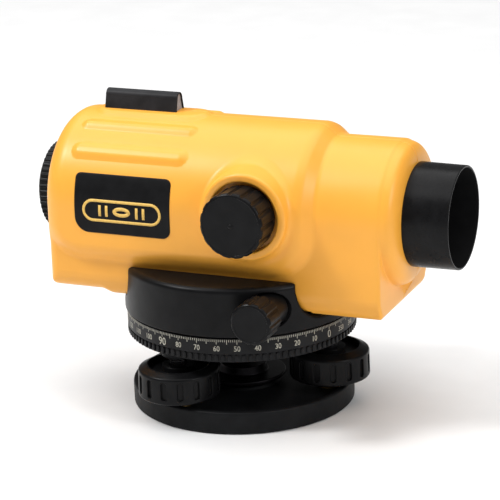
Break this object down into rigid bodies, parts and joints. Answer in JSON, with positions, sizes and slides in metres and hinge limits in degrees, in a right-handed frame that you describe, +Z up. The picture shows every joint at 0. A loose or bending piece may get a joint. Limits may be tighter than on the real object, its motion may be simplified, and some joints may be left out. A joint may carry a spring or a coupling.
{
  "type": "automatic level",
  "caption": "Automatic level: yellow telescope housing on a rotating alidade with a graduated circle, fine-motion knobs, levelling foot screws and a round threaded base.",
  "frame": {"origin": "centre of the tripod thread at the base plate's underside, on the vertical axis", "axes": "+X along the line of sight out of the objective, +Z up along the vertical axis, focus knob on the -Y side"},
  "size_m": [0.2065, 0.128, 0.146],
  "materials": {
    "black_plastic": "satin moulded plastic",
    "black_metal": "black powder coat",
    "yellow_shell": "satin moulded plastic with a fine texture",
    "brass": "turned",
    "steel": "turned",
    "aluminium": "machined",
    "magnet": "sintered",
    "glass": "polished",
    "vial_liquid": "clear with tinted liquid",
    "mirror": "silvered",
    "window": "translucent"
  },
  "bodies": {
    "base": {"base_plate": "black_metal", "tripod_bush": "brass", "foot_cups": "brass"},
    "foot_screw_a": {"foot_knob_a": "black_plastic", "foot_spindle_a": "steel"},
    "foot_screw_b": {"foot_knob_b": "black_plastic", "foot_spindle_b": "steel"},
    "foot_screw_c": {"foot_knob_c": "black_plastic", "foot_spindle_c": "steel"},
    "spring_stage": {"spring_plate": "steel"},
    "tribrach": {"tribrach": "black_metal", "spindle_bush": "brass", "foot_nuts": "brass", "wave_spring": "steel", "bush_screws": "steel"},
    "circle": {"horizontal_circle": "black_metal"},
    "alidade": {"alidade_base": "black_metal", "vertical_spindle": "steel", "spindle_nut": "black_metal", "worm_bushes": "brass", "right_housing": "yellow_shell", "left_housing": "yellow_shell", "housing_screws": "black_metal", "telescope_tube": "aluminium", "objective_cell": "black_metal", "objective_lens": "glass", "retaining_ring": "black_metal", "lens_hood": "black_metal", "reticle_cell": "black_metal", "reticle_glass": "glass", "reticle_screws": "steel", "compensator_frame": "aluminium", "fixed_prism": "glass", "damper_magnet": "magnet", "suspension_pin": "steel", "eyepiece_sleeve": "black_metal", "sight_body": "black_plastic", "sight_window": "window", "label_plate": "black_plastic", "vial_cell": "black_plastic", "vial_glass": "vial_liquid", "vial_screws": "steel", "mirror_bracket": "black_plastic", "focus_bush": "brass"},
    "fine_motion": {"worm_shaft": "steel", "tangent_knob_right": "black_plastic", "tangent_knob_left": "black_plastic"},
    "worm_wheel": {"worm_wheel": "brass"},
    "focus_control": {"focus_knob": "black_plastic", "focus_pinion": "steel"},
    "focus_carriage": {"focus_carrier": "aluminium", "focus_rack": "brass", "focus_lens": "glass"},
    "pendulum": {"pendulum_arm": "brass", "moving_prism": "glass"},
    "dioptre": {"dioptre_ring": "black_plastic"},
    "eyepiece": {"eyepiece_barrel": "black_plastic", "eyepiece_lens": "glass"},
    "mirror": {"mirror_frame": "black_plastic", "mirror_glass": "mirror"}
  },
  "joints": [
    {"name": "foot_screw_a_turn", "type": "hinge", "parent": "base", "child": "foot_screw_a", "pos_m": [-0.02551, 0.03336, 0.0085], "axis": [0, 0, 1], "range_deg": [-780, 780]},
    {"name": "foot_screw_b_turn", "type": "hinge", "parent": "base", "child": "foot_screw_b", "pos_m": [-0.01614, -0.03877, 0.0085], "axis": [0, 0, 1], "range_deg": [-450, 450]},
    {"name": "foot_screw_c_turn", "type": "hinge", "parent": "base", "child": "foot_screw_c", "pos_m": [0.04165, 0.00541, 0.0085], "axis": [0, 0, 1], "range_deg": [-450, 450]},
    {"name": "tilt_long", "type": "hinge", "parent": "base", "child": "spring_stage", "pos_m": [0.01276, -0.01668, 0.036], "axis": [0.7944, 0.6074, 0], "range_deg": [-2, 2]},
    {"name": "tilt_cross", "type": "hinge", "parent": "spring_stage", "child": "tribrach", "pos_m": [0, 0, 0.036], "axis": [-0.6074, 0.7944, 0], "range_deg": [-2, 2]},
    {"name": "circle_turn", "type": "hinge", "parent": "tribrach", "child": "circle", "pos_m": [0, 0, 0.045], "axis": [0, 0, 1], "continuous": true},
    {"name": "alidade_turn", "type": "hinge", "parent": "tribrach", "child": "alidade", "pos_m": [0, 0, 0.035], "axis": [0, 0, 1], "continuous": true},
    {"name": "fine_motion_turn", "type": "hinge", "parent": "alidade", "child": "fine_motion", "pos_m": [0.031, 0, 0.0592], "axis": [0, 1, 0], "continuous": true},
    {"name": "worm_wheel_turn", "type": "hinge", "parent": "alidade", "child": "worm_wheel", "pos_m": [0, 0, 0.0592], "axis": [0, 0, 1], "continuous": true},
    {"name": "focus_turn", "type": "hinge", "parent": "alidade", "child": "focus_control", "pos_m": [0.0203, -0.0385, 0.1017], "axis": [0, -1, 0], "range_deg": [-160, 160]},
    {"name": "focus_travel", "type": "slide", "parent": "alidade", "child": "focus_carriage", "axis": [1, 0, 0], "range_m": [-0.0118, 0.0118]},
    {"name": "pendulum_swing", "type": "hinge", "parent": "alidade", "child": "pendulum", "pos_m": [-0.036, 0, 0.114], "axis": [0, 1, 0], "range_deg": [-0.5, 0.5]},
    {"name": "dioptre_turn", "type": "hinge", "parent": "alidade", "child": "dioptre", "pos_m": [-0.09, 0, 0.097], "axis": [-1, 0, 0], "range_deg": [-160, 160]},
    {"name": "eyepiece_travel", "type": "slide", "parent": "alidade", "child": "eyepiece", "axis": [-1, 0, 0], "range_m": [-0.0015, 0.0015]},
    {"name": "mirror_fold", "type": "hinge", "parent": "alidade", "child": "mirror", "pos_m": [0.004, 0.0463, 0.077], "axis": [0, 1, 0], "range_deg": [-45, 30]}
  ],
  "couplings": [
    {"joint": "tilt_long", "follows": "foot_screw_a_turn", "ratio": -0.0025263},
    {"joint": "tilt_cross", "follows": "foot_screw_b_turn", "ratio": -0.0043756},
    {"joint": "foot_screw_c_turn", "follows": "foot_screw_b_turn", "ratio": -1},
    {"joint": "worm_wheel_turn", "follows": "fine_motion_turn", "ratio": 0.0125},
    {"joint": "focus_travel", "follows": "focus_turn", "m_per_rad": 0.0042},
    {"joint": "eyepiece_travel", "follows": "dioptre_turn", "m_per_rad": 0.0005}
  ]
}
